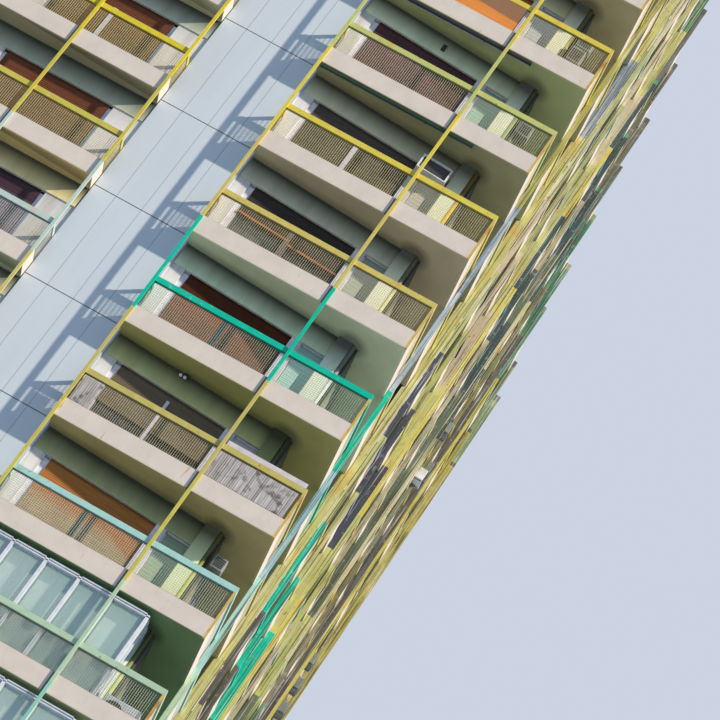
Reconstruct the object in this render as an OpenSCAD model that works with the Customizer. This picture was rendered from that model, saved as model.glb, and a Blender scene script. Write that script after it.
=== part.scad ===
// Apartment tower with open mesh balconies, modelled at half of its real size.
// Ground level is z = 0 and the front faces -y. All sizes are model millimetres.

/* [Storeys] */
// storeys above the ground storey
storeys = 26; // [10:1:30]
// floor to floor height of an upper storey
storey_h = 1400; // [1250:10:1700]
// ground level to the underside of the lowest balcony
ground_h = 1650; // [1450:10:2200]
// thickness of floor, balcony and roof slabs
slab_t = 70; // [50:5:110]
// thickness of the slab on the ground
ground_slab_t = 75; // [50:5:150]

/* [Plan] */
// balcony bay beside an open corner
narrow_bay = 985; // [800:5:1300]
// broad balcony bay
wide_bay = 1595; // [1300:5:1900]
// middle bay of the central balconies
middle_bay = 1530; // [1300:5:1900]
// outer bays of the central balconies
end_bay = 1105; // [900:5:1400]
// blind strip between two balconies
strip_w = 1210; // [800:5:1600]
// balconies one behind the other along a side
side_groups = 5; // [3:1:6]
// turn of each side inward from square, in degrees
splay = 5.3; // [0:0.1:8]
// fascia face to the front window wall
front_depth = 250; // [220:5:600]
// fascia face to the side wall
side_depth = 450; // [350:5:700]
// thickness of the outer walls
wall_t = 100; // [70:5:140]

/* [Openings] */
// width of a balcony door opening
door_w = 1350; // [1000:10:1450]
// height of the beam and lintel over the balcony openings
lintel_h = 290; // [200:5:340]
// height of the lintel over the ground storey openings
ground_lintel_h = 375; // [200:5:450]
// width of the narrow window beside the corner column
window_w = 285; // [200:5:400]
// pier between that window and the balcony door
pier_w = 83; // [50:1:140]
// width of the corner column
column_w = 165; // [120:5:240]
// how far the corner column stands out of its wall
column_proud = 60; // [20:2:90]
// corner column to the side wall's face
column_inset = 72; // [10:1:100]
// how far the beam over the openings stands out
beam_proud = 13; // [6:1:30]

/* [Balcony edge] */
// height of the fascia
fascia_h = 245; // [180:5:320]
// thickness of the fascia
fascia_t = 24; // [20:2:50]
// gap in the fascia behind a middle post
joint_w = 60; // [40:2:90]
// how far that gap lies inward of its post
joint_shift = 12; // [0:1:20]
// how far the joint strip lies behind the fascia face
joint_back = 10; // [6:1:14]
// top of the handrail above the fascia's underside
rail_top = 690; // [640:4:780]
// depth of the handrail, front to back
rail_w = 36; // [30:2:60]
// height of the handrail
rail_t = 68; // [40:2:80]
// thickness of the mesh panel
mesh_t = 6; // [4:1:12]
// fascia face to the mesh panel
mesh_back = 15; // [8:1:24]
// width of a front post
post_w = 34; // [24:2:60]
// how far a front post stands out of the fascia
post_proud = 28; // [16:2:50]
// width of a side post
side_post_w = 44; // [24:2:60]
// how far a side post stands out of the fascia
side_post_proud = 60; // [30:2:80]
// breadth of the broad post that ends a side balcony
end_post_w = 117; // [60:1:160]
// how far that end post stands out of the fascia
end_post_proud = 84; // [40:2:110]
// width of the bar at an open corner
corner_bar_w = 28; // [16:2:40]

/* [Blind strips] */
// fascia face to the face of a blind strip
strip_back = 225; // [100:5:240]
// dark gap between a strip and the balcony beside it
strip_gap = 20; // [0:1:30]

/* [Roof] */
// height of the parapet
parapet_h = 450; // [300:10:700]
// width of the lift housing
housing_w = 2600; // [1800:20:4000]
// length of the lift housing
housing_l = 4200; // [3000:20:6000]
// height of the lift housing under its roof
housing_h = 1200; // [1100:20:1800]
// overhang of the lift housing roof
housing_eaves = 60; // [20:5:120]

/* [Show] */
// the node to show

/* [Hidden] */
group_w = narrow_bay + wide_bay;
central_half = end_bay + middle_bay / 2;
strip_out = central_half + strip_w;
half_w = strip_out + group_w;
side_l = side_groups * group_w + (side_groups - 1) * strip_w;
inner_wall = side_depth + wall_t;
// the corner window wall runs square to the side and starts flush with the front wall
wall_line = group_w * sin(splay) + front_depth * cos(splay);
wall_in = wall_line + wall_t;
back_y = wp(-side_depth, side_l)[1];
y_mid = (wp(end_post_proud, side_l + side_post_w)[1] - post_proud) / 2;
roof_z = ground_h + storeys * storey_h;
door_h = storey_h - slab_t - lintel_h;
entrance_h = ground_h - ground_slab_t - ground_lintel_h;
column_out = -side_depth - column_inset;
column_in = column_out - column_w;
window_in = column_in - window_w;
door_out = window_in - pier_w;
door_in = door_out - door_w;
// the wall left over beside two central doors is shared out between three piers
pier_mid = (2 * central_half - 2 * door_w) / 3;

// Side frame: lx is measured out of the right side's fascia face, ly along it from the front corner.
function wp(lx, ly) = [half_w + lx * cos(splay) - ly * sin(splay),
                       lx * sin(splay) + ly * cos(splay)];
// the point of the line lx that has the given y, and the point of the line ly that has the given x
function side_at(lx, y) = wp(lx, (y - lx * sin(splay)) / cos(splay));
function wall_at(x, ly) = wp((x - half_w + ly * sin(splay)) / cos(splay), ly);
function level(k) = k == 0 ? 0 : ground_h + (k - 1) * storey_h;
function floor_z(k) = k == 0 ? ground_slab_t : level(k) + slab_t;
function group_at(g) = g * (group_w + strip_w);
function mid_post(g) = g == 0 ? narrow_bay : g == side_groups - 1 ? wide_bay : group_w / 2;

module prism(points, z, h) {
    translate([0, 0, z]) linear_extrude(h) polygon(points);
}
module block(x0, x1, y0, y1, z, h) {
    translate([x0, y0, z]) cube([x1 - x0, y1 - y0, h]);
}
module side_block(lx0, lx1, ly0, ly1, z, h) {
    prism([wp(lx0, ly0), wp(lx1, ly0), wp(lx1, ly1), wp(lx0, ly1)], z, h);
}
module both() {
    children();
    mirror([1, 0, 0]) children();
}

module body_slab(z, h) {
    a = wp(-side_depth, wall_line);
    b = wp(-side_depth, side_l);
    prism([[-strip_out, front_depth], [strip_out, front_depth], a, b,
           [-b[0], b[1]], [-a[0], a[1]]], z, h);
}

module ground_slab() {
    color("#8e8c86") body_slab(0, ground_slab_t);
}
module floor_slabs() {
    color("#9a9b90") for (k = [1 : storeys]) body_slab(level(k), slab_t);
}
module roof_slab() {
    color("#8f8f88") body_slab(roof_z, slab_t);
}

// Window walls stand storey by storey on the slabs, open between their piers.
module front_piers() {
    color("#cfcac0") for (k = [0 : storeys]) {
        z = floor_z(k);
        h = k == 0 ? entrance_h : door_h;
        block(-pier_mid / 2, pier_mid / 2, front_depth, front_depth + wall_t, z, h);
        both() {
            block(pier_mid / 2 + door_w, central_half, front_depth, front_depth + wall_t, z, h);
            prism([[strip_out, front_depth], wp(door_in, wall_line), wp(door_in, wall_in),
                   wall_at(strip_out, wall_in)], z, h);
            side_block(door_out, window_in, wall_line, wall_in, z, h);
            side_block(column_in, -side_depth, wall_line, wall_in, z, h);
        }
    }
}
module front_lintels() {
    color("#c9c6bb") for (k = [0 : storeys]) {
        h = k == 0 ? ground_lintel_h : lintel_h;
        z = level(k + 1) - h;
        block(-central_half, central_half, front_depth, front_depth + wall_t, z, h);
        both() prism([[strip_out, front_depth], wp(-side_depth, wall_line),
                      wp(-side_depth, wall_in), wall_at(strip_out, wall_in)], z, h);
    }
}
module strip_walls() {
    color("#c2c6c6") for (k = [0 : storeys]) both()
        block(central_half, strip_out, front_depth, front_depth + wall_t, floor_z(k),
              level(k + 1) - floor_z(k));
}
module side_walls() {
    color("#cbc8b4") for (k = [0 : storeys]) both()
        prism([wp(-side_depth, wall_in), side_at(-side_depth, back_y - wall_t),
               side_at(-inner_wall, back_y - wall_t), wp(-inner_wall, wall_in)],
              floor_z(k), level(k + 1) - floor_z(k));
}
module back_walls() {
    a = side_at(-side_depth, back_y - wall_t);
    b = side_at(-side_depth, back_y);
    color("#c6c3b6") for (k = [0 : storeys])
        prism([[-a[0], a[1]], a, b, [-b[0], b[1]]], floor_z(k), level(k + 1) - floor_z(k));
}
module beams() {
    color("#a9b1a2") for (k = [1 : storeys]) {
        z = level(k + 1) - lintel_h;
        block(-central_half, central_half, front_depth - beam_proud, front_depth, z, lintel_h);
        both() prism([wall_at(strip_out, wall_line - beam_proud),
                      wp(column_in, wall_line - beam_proud), wp(column_in, wall_line),
                      [strip_out, front_depth]], z, lintel_h);
    }
}
module corner_columns() {
    color("#d8d4c6") for (k = [1 : storeys]) both()
        side_block(column_in, column_out, wall_line - column_proud, wall_line,
                   floor_z(k), storey_h - slab_t);
}

// Blind strips close the gaps between the balconies from the ground to the roof.
module strip_panels() {
    color("#b9c2c6") both()
        block(central_half + strip_gap, strip_out - strip_gap, strip_back, front_depth, 0,
              roof_z + slab_t);
}
module side_shafts() {
    color("#b9c2c6") both() for (g = [0 : side_groups - 2])
        side_block(-side_depth, -strip_back, group_at(g) + group_w + strip_gap,
                   group_at(g + 1) - strip_gap, 0, roof_z + slab_t);
}

// Balcony slabs lie outside the walls and carry the fascias on their edge.
module central_balcony_slabs() {
    color("#8f9a7c") for (k = [1 : storeys + 1])
        block(-central_half, central_half, fascia_t, front_depth, level(k), slab_t);
}
module corner_balcony_slabs() {
    color("#8f9a7c") for (k = [1 : storeys + 1]) both()
        prism([[strip_out, fascia_t], side_at(-fascia_t, fascia_t), wp(-fascia_t, wall_line),
               wp(-side_depth, wall_line), [strip_out, front_depth]], level(k), slab_t);
}
module side_balcony_slabs() {
    color("#8f9a7c") for (k = [1 : storeys + 1]) both() for (g = [0 : side_groups - 1])
        side_block(-side_depth, -fascia_t, g == 0 ? wall_line : group_at(g),
                   group_at(g) + group_w, level(k), slab_t);
}

// One front edge piece: from x0 to x1, or from x0 to the open corner when corner is true.
module front_edge(x0, x1, y0, y1, z, h, corner = false, short = 0) {
    if (corner)
        prism([[x0, y0], side_at(-short, y0), side_at(-short, y1), [x0, y1]], z, h);
    else
        block(x0, x1, y0, y1, z, h);
}
module side_edge(g, lx0, lx1, y0, z, h) {
    if (g == 0)
        prism([side_at(lx0, y0), side_at(lx1, y0), wp(lx1, group_w), wp(lx0, group_w)], z, h);
    else
        side_block(lx0, lx1, group_at(g), group_at(g) + group_w, z, h);
}

central_joint_x = middle_bay / 2 - joint_shift;
corner_post_x = half_w - narrow_bay;
corner_joint_x = corner_post_x - joint_shift;
module front_fascias() {
    color("#d8cfc8") for (k = [1 : storeys + 1]) {
        z = level(k);
        front_edge(-central_joint_x + joint_w / 2, central_joint_x - joint_w / 2, 0, fascia_t,
                   z, fascia_h);
        both() {
            front_edge(central_joint_x + joint_w / 2, central_half, 0, fascia_t, z, fascia_h);
            front_edge(strip_out, corner_joint_x - joint_w / 2, 0, fascia_t, z, fascia_h);
            front_edge(corner_joint_x + joint_w / 2, 0, 0, fascia_t, z, fascia_h, true,
                       corner_bar_w);
        }
    }
}
module fascia_joints() {
    color("#5a5f60") for (k = [1 : storeys + 1]) both() for (x = [central_joint_x, corner_joint_x])
        block(x - joint_w / 2, x + joint_w / 2, joint_back, fascia_t, level(k), fascia_h);
}
module side_fascias() {
    color("#d8cfc8") for (k = [1 : storeys + 1]) both() for (g = [0 : side_groups - 1])
        side_edge(g, -fascia_t, 0, fascia_t, level(k), fascia_h);
}
module front_handrails() {
    color("#c9c24e") for (k = [1 : storeys]) {
        z = level(k) + rail_top - rail_t;
        front_edge(-central_half, central_half, 0, rail_w, z, rail_t);
        both() front_edge(strip_out, 0, 0, rail_w, z, rail_t, true, 0);
    }
}
module side_handrails() {
    color("#c9c77b") for (k = [1 : storeys]) both() for (g = [0 : side_groups - 1])
        side_edge(g, -rail_w, 0, rail_w, level(k) + rail_top - rail_t, rail_t);
}
module front_mesh() {
    h = rail_top - rail_t - fascia_h;
    color("#8a8f86") for (k = [1 : storeys]) {
        z = level(k) + fascia_h;
        front_edge(-central_half, central_half, mesh_back, mesh_back + mesh_t, z, h);
        both() front_edge(strip_out, 0, mesh_back, mesh_back + mesh_t, z, h, true, corner_bar_w);
    }
}
module side_mesh() {
    color("#8a8f86") for (k = [1 : storeys]) both() for (g = [0 : side_groups - 1])
        side_edge(g, -mesh_back - mesh_t, -mesh_back, fascia_t, level(k) + fascia_h,
                  rail_top - rail_t - fascia_h);
}
module return_mesh() {
    color("#8a8f86") for (k = [1 : storeys]) both() for (x = [central_half - mesh_t, strip_out])
        block(x, x + mesh_t, rail_w, strip_back, floor_z(k), rail_top - slab_t);
}
module corner_bars() {
    color("#d3b23c") for (k = [1 : storeys]) both()
        prism([side_at(-corner_bar_w, 0), side_at(0, 0), side_at(0, fascia_t),
               side_at(-corner_bar_w, fascia_t)], level(k), rail_top - rail_t);
}
module front_posts() {
    color("#c9c24e") both() for (x = [middle_bay / 2, central_half, strip_out, corner_post_x])
        block(x - post_w / 2, x + post_w / 2, -post_proud, 0, ground_h, storeys * storey_h + fascia_h);
}
module side_posts() {
    half = side_post_w / 2;
    color("#c9c77b") both() for (g = [0 : side_groups - 1])
        for (y = concat(g == 0 ? [] : [half], [mid_post(g)]))
            side_block(0, side_post_proud, group_at(g) + y - half, group_at(g) + y + half,
                       ground_h, storeys * storey_h + fascia_h);
}
module side_end_posts() {
    color("#c9c77b") both() for (g = [0 : side_groups - 1])
        side_block(end_post_proud - end_post_w, end_post_proud, group_at(g) + group_w,
                   group_at(g) + group_w + side_post_w, ground_h, storeys * storey_h + fascia_h);
}

// The roof carries a parapet over the walls and a plain lift housing.
parapet_z = roof_z + slab_t;
module front_parapet() {
    color("#cfcac0") block(-strip_out, strip_out, front_depth, front_depth + wall_t, parapet_z,
                           parapet_h);
}
module corner_parapets() {
    color("#cfcac0") both() prism([[strip_out, front_depth], wp(-side_depth, wall_line),
        wp(-side_depth, wall_in), wall_at(strip_out, wall_in)], parapet_z, parapet_h);
}
module side_parapets() {
    color("#cbc8b4") both()
        prism([wp(-side_depth, wall_in), side_at(-side_depth, back_y - wall_t),
               side_at(-inner_wall, back_y - wall_t), wp(-inner_wall, wall_in)],
              parapet_z, parapet_h);
}
module back_parapet() {
    a = side_at(-side_depth, back_y - wall_t);
    b = side_at(-side_depth, back_y);
    color("#c6c3b6") prism([[-a[0], a[1]], a, b, [-b[0], b[1]]], parapet_z, parapet_h);
}
module housing_sides() {
    color("#c9c6bb") both() block(housing_w / 2 - wall_t, housing_w / 2, y_mid - housing_l / 2,
                                  y_mid + housing_l / 2, parapet_z, housing_h);
}
module housing_ends() {
    inner = housing_w / 2 - wall_t;
    color("#c9c6bb") for (y = [y_mid - housing_l / 2, y_mid + housing_l / 2 - wall_t])
        block(-inner, inner, y, y + wall_t, parapet_z, housing_h);
}
module housing_roof() {
    color("#8f8f88") block(-housing_w / 2 - housing_eaves, housing_w / 2 + housing_eaves,
        y_mid - housing_l / 2 - housing_eaves, y_mid + housing_l / 2 + housing_eaves,
        parapet_z + housing_h, slab_t);
}

translate([0, -y_mid, 0]) {
    ground_slab();
    floor_slabs();
    roof_slab();
    front_piers();
    front_lintels();
    strip_walls();
    side_walls();
    back_walls();
    beams();
    corner_columns();
    strip_panels();
    side_shafts();
    central_balcony_slabs();
    corner_balcony_slabs();
    side_balcony_slabs();
    front_fascias();
    fascia_joints();
    side_fascias();
    front_handrails();
    side_handrails();
    front_mesh();
    side_mesh();
    return_mesh();
    corner_bars();
    front_posts();
    side_posts();
    side_end_posts();
    front_parapet();
    corner_parapets();
    side_parapets();
    back_parapet();
    housing_sides();
    housing_ends();
    housing_roof();
}
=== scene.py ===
import math

import bmesh
import bpy
from mathutils import Matrix, Vector


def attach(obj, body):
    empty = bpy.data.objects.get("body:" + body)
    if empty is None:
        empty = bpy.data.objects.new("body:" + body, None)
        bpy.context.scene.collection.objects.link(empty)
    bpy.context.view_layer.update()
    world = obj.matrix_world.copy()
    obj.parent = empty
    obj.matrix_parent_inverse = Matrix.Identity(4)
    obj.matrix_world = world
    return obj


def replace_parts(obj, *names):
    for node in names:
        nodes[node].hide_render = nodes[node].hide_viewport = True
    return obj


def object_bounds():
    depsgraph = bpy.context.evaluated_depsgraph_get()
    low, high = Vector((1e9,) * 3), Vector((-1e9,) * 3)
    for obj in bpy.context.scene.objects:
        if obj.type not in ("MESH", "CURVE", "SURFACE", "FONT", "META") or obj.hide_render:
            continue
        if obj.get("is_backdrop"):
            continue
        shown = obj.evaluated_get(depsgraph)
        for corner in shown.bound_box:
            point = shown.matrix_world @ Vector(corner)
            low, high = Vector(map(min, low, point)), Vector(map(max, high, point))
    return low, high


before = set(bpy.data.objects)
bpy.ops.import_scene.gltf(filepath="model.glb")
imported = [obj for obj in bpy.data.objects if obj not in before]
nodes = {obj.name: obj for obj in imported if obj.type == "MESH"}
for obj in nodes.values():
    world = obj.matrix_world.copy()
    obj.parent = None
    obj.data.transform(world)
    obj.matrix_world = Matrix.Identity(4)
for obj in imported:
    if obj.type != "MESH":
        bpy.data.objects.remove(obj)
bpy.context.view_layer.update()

# Balcony slabs and their ceilings
# Cast concrete, brushed with the paint of the flat below, so each storey's ceiling has its own
# green or olive. Painted shade darkens it where it meets the wall, around the column head and
# deep in the side balconies, and it is palest at the open corner.
STOREY = 1.4
STOREYS = 26
LOWEST = 1.65
SPLAY = math.radians(5.3)
HALF_W = 5.66
MID_Y = 8.84386358
GROUP = 2.58
FRONT_DEPTH = 0.25
WALL_LINE = GROUP * math.sin(SPLAY) + FRONT_DEPTH * math.cos(SPLAY)
STRIP_MIDDLE = 2.5
COLUMN_X = 5.08


def linear(code):
    """An sRGB hex colour as linear red, green, blue and alpha."""
    parts = [int(code[i : i + 2], 16) / 255 for i in (1, 3, 5)]
    return (*[c / 12.92 if c <= 0.04045 else ((c + 0.055) / 1.055) ** 2.4 for c in parts], 1.0)


def add(tree, kind, inputs=(), out=0, **settings):
    """Adds a shader node with its settings, sets or links its inputs and returns one output."""
    made = tree.nodes.new("ShaderNode" + kind)
    for key, value in settings.items():
        setattr(made, key, value)
    for socket, value in inputs.items() if isinstance(inputs, dict) else enumerate(inputs):
        if isinstance(value, bpy.types.NodeSocket):
            tree.links.new(value, made.inputs[socket])
        else:
            made.inputs[socket].default_value = value
    return made.outputs[out]


def finish(name, roughness, **sockets):
    """A new material and its tree; sockets are constants of its Principled shader."""
    made = bpy.data.materials.new(name)
    made.use_nodes = True
    shader = made.node_tree.nodes["Principled BSDF"]
    shader.inputs["Roughness"].default_value = roughness
    for socket, value in sockets.items():
        shader.inputs[socket.replace("_", " ")].default_value = value
    return made, made.node_tree


def cover(tree, colour, raised=None, strength=0.0, depth=0.0):
    """Gives the shader its colour and raises the surface by a pattern."""
    shader = tree.nodes["Principled BSDF"]
    tree.links.new(colour, shader.inputs["Base Color"])
    if raised:
        bump = add(tree, "Bump", {"Height": raised, "Strength": strength, "Distance": depth})
        tree.links.new(bump, shader.inputs["Normal"])


def place(tree):
    """The x, y and z of a point of the piece."""
    spot = add(tree, "TexCoord", out="Object")
    return add(tree, "SeparateXYZ", (spot,)).node.outputs


def speckle(tree, size, stretch=(1, 1, 1), detail=4.0, low=0.3, high=0.7, most=1.0):
    """Noise of a patch size in metres, drawn out along an axis, from 0 to most."""
    spot = add(tree, "TexCoord", out="Object")
    turned = add(tree, "Mapping", {"Vector": spot, "Scale": stretch})
    noise = add(tree, "TexNoise", {"Vector": turned, "Scale": 1 / size, "Detail": detail})
    return add(tree, "MapRange", (noise, low, high, 0.0, most))


def coat(tree, under, over, where, mode="MIX"):
    """One colour brushed over another where a pattern is 1; each is a hex code or a socket."""
    under, over = (linear(c) if isinstance(c, str) else c for c in (under, over))
    return add(tree, "Mix", {0: where, 6: under, 7: over}, 2, data_type="RGBA", blend_type=mode)


def where_all(tree, *patterns):
    """The product of patterns, which is 1 only where each of them is."""
    made = patterns[0]
    for pattern in patterns[1:]:
        made = add(tree, "Math", (made, pattern), operation="MULTIPLY")
    return made


def where_any(tree, *patterns):
    """The strongest of several patterns at each point."""
    made = patterns[0]
    for pattern in patterns[1:]:
        made = add(tree, "Math", (made, pattern), operation="MAXIMUM")
    return made


def steps(tree, value, colours):
    """Picks a colour by a value from 0 to 1, in equal steps, or at the share given with each."""
    picked = add(tree, "ValToRGB", (value,))
    ramp = picked.node.color_ramp
    ramp.interpolation = "CONSTANT"
    while len(ramp.elements) < len(colours):
        ramp.elements.new(0.5)
    if isinstance(colours[0], str):
        colours = [(i / len(colours), code) for i, code in enumerate(colours)]
    for stop, (at, code) in zip(ramp.elements, colours):
        stop.position = at
    for stop, (at, code) in zip(ramp.elements, colours):
        stop.color = linear(code)
    return picked


def by_storey(tree, z, colours):
    """Picks the colour of a storey from a height, lowest storey first."""
    share = add(tree, "Math", (z, LOWEST), operation="SUBTRACT")
    share = add(tree, "Math", (share, STOREY * STOREYS), operation="DIVIDE")
    return steps(tree, share, colours)


def in_middle(tree, x):
    """1 for the balconies between the two blind strips of the front, or else 0."""
    wide = add(tree, "Math", (x,), operation="ABSOLUTE")
    return add(tree, "Math", (wide, STRIP_MIDDLE), operation="LESS_THAN")


def flat_paint(tree, x, z, corner_paints, central_paints):
    """The paint of the flat of the front that a point belongs to."""
    return coat(tree, by_storey(tree, z, corner_paints), by_storey(tree, z, central_paints),
                in_middle(tree, x))


def along_side(tree, x, y):
    """How far a point lies along the side of its own half, from the front corner."""
    wide = add(tree, "Math", (x,), operation="ABSOLUTE")
    inward = add(tree, "Math", (HALF_W, wide), operation="SUBTRACT")
    inward = add(tree, "Math", (inward, math.sin(SPLAY)), operation="MULTIPLY")
    deep = add(tree, "Math", (y, MID_Y), operation="ADD")
    return add(tree, "Math", (deep, math.cos(SPLAY), inward), operation="MULTIPLY_ADD")


def dress(material, *names):
    """Gives construction pieces their finish."""
    for name in names:
        nodes[name].data.materials[0] = material


# the lowest flat first
CORNER_CEILINGS = [
    "#ACAC8A", "#B6B390", "#9C9969", "#B3BB9F", "#A6A174", "#BCB590", "#A6B08C", "#979665",
    "#B2B997", "#AAA37E", "#A0AE88", "#959463", "#8B9869", "#637F53", "#ACA069", "#A19F5C",
    "#CBD2AD", "#B7AB89", "#9E9B71", "#ACB37B", "#B6A97D", "#ACAE90", "#AAB08C", "#B6B388",
    "#A1AE8C", "#B1B395",
]
CENTRAL_CEILINGS = [
    "#B4B18F", "#A4AE8B", "#AAAA89", "#9A9768", "#BAB38F", "#A8A17D", "#969464", "#B1B99D",
    "#9FAC8B", "#A49F73", "#B0B695", "#9EAC87", "#B4A77C", "#AAAC8F", "#939262", "#A8AE8B",
    "#D3BA79", "#A29D7B", "#BEBA93", "#A8AE8B", "#AAAA89", "#B4B187", "#9A9768", "#AAAC8F",
    "#B1B99D", "#A8A17D",
]
ceiling, tree = finish("Brushed masonry paint on concrete ceiling", 0.85)
x, y, z = place(tree)
flat_below = add(tree, "Math", (z, STOREY / 2), operation="SUBTRACT")
paint = flat_paint(tree, x, flat_below, CORNER_CEILINGS, CENTRAL_CEILINGS)
along = along_side(tree, x, y)
wide = add(tree, "Math", (x,), operation="ABSOLUTE")
# Painted shade: darker by the wall, around the column head and deep in the side balconies.
shade_by_wall = where_all(
    tree,
    add(tree, "MapRange", (along, WALL_LINE - 0.14, WALL_LINE, 0.0, 0.45)),
    add(tree, "MapRange", (wide, 4.85, 5.1, 1.0, 0.0)),
    add(tree, "Math", (along, WALL_LINE + 0.05), operation="LESS_THAN"),
)
around = add(tree, "CombineXYZ", (
    add(tree, "Math", (wide, COLUMN_X), operation="SUBTRACT"),
    add(tree, "Math", (along, WALL_LINE - 0.04), operation="SUBTRACT"),
))
around = add(tree, "VectorMath", (around,), 1, operation="LENGTH")
painted_shade = where_any(
    tree,
    shade_by_wall,
    add(tree, "MapRange", (around, 0.1, 0.22, 0.6, 0.0)),
    add(tree, "MapRange", (along, GROUP - 0.1, GROUP + 0.4, 0.0, 0.45)),
)
paint = coat(tree, paint, "#1C1E18", painted_shade)
paint = coat(tree, paint, "#A39E86", speckle(tree, 0.35, detail=6.0, most=0.25), "MULTIPLY")
cover(tree, paint, speckle(tree, 0.02), 0.3, 0.002)
dress(ceiling, "central_balcony_slabs", "corner_balcony_slabs", "side_balcony_slabs")

# Floors, ground slab and roof
# Bare cast concrete with the lines of its shutter boards, grey and a little blotched, and
# bitumen felt in rolls on the roof, lapped and sealed with a darker seam every half metre.
concrete, tree = finish("Board marked cast concrete", 0.9)
grey = coat(tree, "#8C8B83", "#A3A297", speckle(tree, 0.4, detail=8.0))
cover(tree, grey, speckle(tree, 0.03, (1, 8, 1)), 0.4, 0.003)
dress(concrete, "ground_slab", "floor_slabs")

FELT_WIDTH = 0.5
roofing, tree = finish("Weathered bitumen felt", 0.95)
x, y, z = place(tree)
lap = add(tree, "Math", (y, 40 * FELT_WIDTH), operation="ADD")
lap = add(tree, "Math", (lap, FELT_WIDTH), operation="MODULO")
seam = add(tree, "Math", (lap, FELT_WIDTH / 2, 0.012), operation="COMPARE")
grey = coat(tree, "#6D6C68", "#8A8985", speckle(tree, 0.9, detail=8.0))
grey = coat(tree, grey, "#3E3D3B", where_all(tree, seam, 0.7))
cover(tree, grey, speckle(tree, 0.015), 0.5, 0.003)
dress(roofing, "roof_slab", "housing_roof")

# Walls behind the balconies
# Smooth render with brushed white paint, streaked by rain, and painted darker under each ceiling
# as painted shade. In the corner flats the side wall carries the flat's own ceiling paint with
# painted shade, and the end of the wall beside the column is painted dark, a painted shade too.
PARAPET_FOOT = 38.0


def rise_of(tree, z):
    """The height of a point above the foot of its own storey's fascia."""
    above = add(tree, "Math", (z, LOWEST - STOREY - 0.0005), operation="SUBTRACT")
    return add(tree, "Math", (above, STOREY), operation="MODULO")


render, tree = finish("Painted smooth render", 0.8)
x, y, z = place(tree)
streaks = speckle(tree, 0.09, (1, 1, 0.12), 5.0, 0.42, 0.72)
white = coat(tree, "#DDDDDC", "#BFBDB4", streaks)
# Painted shade: the render darkens towards the ceiling of each storey.
painted_shade = add(tree, "MapRange", (rise_of(tree, z), 0.9, 1.36, 0.0, 0.55))
below_roof = add(tree, "Math", (z, PARAPET_FOOT), operation="LESS_THAN")
white = coat(tree, white, "#4E544A", where_all(tree, painted_shade, below_roof))
wide = add(tree, "Math", (x,), operation="ABSOLUTE")
# Painted shade: the end of the wall beside the corner column is painted dark all over.
shaded_wall_end = where_all(
    tree,
    add(tree, "Math", (wide, COLUMN_X - 0.01), operation="GREATER_THAN"),
    add(tree, "Math", (along_side(tree, x, y), 1.5), operation="LESS_THAN"),
)
white = coat(tree, white, "#3F4638", shaded_wall_end)
cover(tree, white, speckle(tree, 0.012), 0.25, 0.001)
dress(render, "front_piers", "front_lintels", "strip_walls", "front_parapet", "corner_parapets")

cream, tree = finish("Rain stained cream render", 0.85)
sand = coat(tree, "#CFC9AF", "#ADA68A", speckle(tree, 0.25, (1, 1, 0.1), 6.0))
sand = coat(tree, sand, "#B0A890", speckle(tree, 1.4, most=0.3), "MULTIPLY")
cover(tree, sand, speckle(tree, 0.012), 0.3, 0.001)
dress(cream, "back_walls", "side_parapets", "back_parapet", "housing_sides", "housing_ends")

side_render, tree = finish("Brushed masonry paint on side wall", 0.85)
x, y, z = place(tree)
along = along_side(tree, x, y)
paint = coat(tree, by_storey(tree, z, CORNER_CEILINGS), "#CFC9AF",
             add(tree, "MapRange", (along, WALL_LINE + 0.02, WALL_LINE + 0.9)))
# Painted shade: the side wall darkens towards the ceiling and near the front of the balcony.
shade = add(tree, "MapRange", (rise_of(tree, z), 0.7, 1.36, 0.1, 0.8))
paint = coat(tree, paint, "#2E332A", shade, "MULTIPLY")
shade_near_front = add(tree, "MapRange", (along, WALL_LINE + 0.1, WALL_LINE + 0.6, 0.72, 0.0))
paint = coat(tree, paint, "#23261F", shade_near_front)
paint = coat(tree, paint, "#A39E86", speckle(tree, 0.3, (1, 1, 0.2), most=0.4), "MULTIPLY")
cover(tree, paint, speckle(tree, 0.012), 0.3, 0.001)
dress(side_render, "side_walls")

# Beams over the openings
# The boxes of the roller shutters, rendered and brushed in the flat's own grey or green. A
# painted highlight lightens their feet, and painted shade darkens them towards the ceiling.
CORNER_BEAMS = [
    "#D1CEA9", "#C0C198", "#D6D3A9", "#BAC19B", "#CDC391", "#C3C5A2", "#B6C198", "#C3BE8D",
    "#C6C9A2", "#CDC191", "#B6BC91", "#BFBC81", "#BABC91", "#B2BC9D", "#A6AC7D", "#BEC385",
    "#D2DFBF", "#C3C5AD", "#D3D1AF", "#DDE7BF", "#D1CEA6", "#C8C9A9", "#C3C7A6", "#D1C99D",
    "#C3C9AD", "#CDCEA9",
]
CENTRAL_BEAMS = [
    "#B9BD9C", "#C6C5A4", "#B0B996", "#B9B688", "#C2BB8C", "#CBCAA4", "#ACB994", "#C2B98C",
    "#B6B994", "#BBC19C", "#B0B48C", "#B5B47D", "#A8B498", "#B9C1A8", "#ACB48C", "#BDC1A4",
    "#EBDB9E", "#B5BCA6", "#B9C1AF", "#C6C198", "#B9BFA0", "#C2C5A4", "#ACB994", "#C6C5A4",
    "#BDBDA0", "#B0B996",
]
beam_paint, tree = finish("Brushed masonry paint on shutter box", 0.75)
x, y, z = place(tree)
paint = flat_paint(tree, x, z, CORNER_BEAMS, CENTRAL_BEAMS)
streaks = speckle(tree, 0.12, (1, 1, 0.2), 5.0, most=0.3)
paint = coat(tree, paint, "#9A9A8C", streaks, "MULTIPLY")
height = rise_of(tree, z)
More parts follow.
